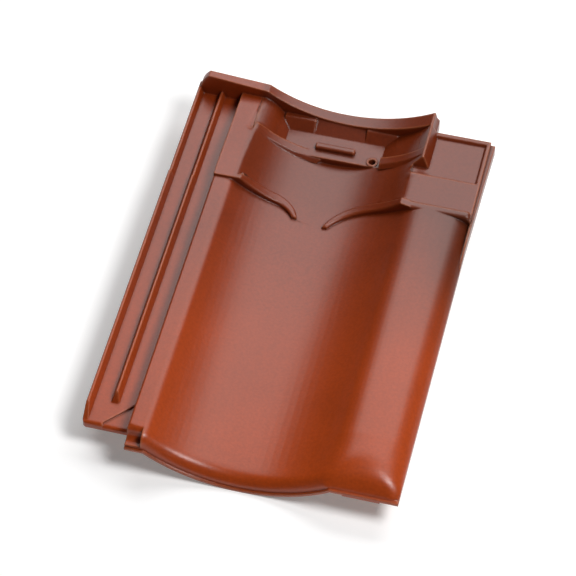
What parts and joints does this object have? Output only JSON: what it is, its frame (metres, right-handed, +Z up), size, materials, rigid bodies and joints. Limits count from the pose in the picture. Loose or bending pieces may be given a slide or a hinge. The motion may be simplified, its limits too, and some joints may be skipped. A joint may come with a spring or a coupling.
{
  "type": "roof pantile",
  "caption": "Interlocking clay roof pantile with a deep trough, a roll that covers the next tile's side lock, a head rim, hanging nibs and a nail hole.",
  "frame": {"origin": "centre of the tile's footprint on the surface it lies on, under the two nibs and the tail edge", "axes": "+Y from the tail up to the head, +X from the side lock to the roll, +Z up from the surface"},
  "size_m": [0.2612, 0.3796, 0.0617],
  "materials": {
    "engobe": "satin"
  },
  "bodies": {
    "root": {"pantile": "engobe"}
  },
  "joints": []
}
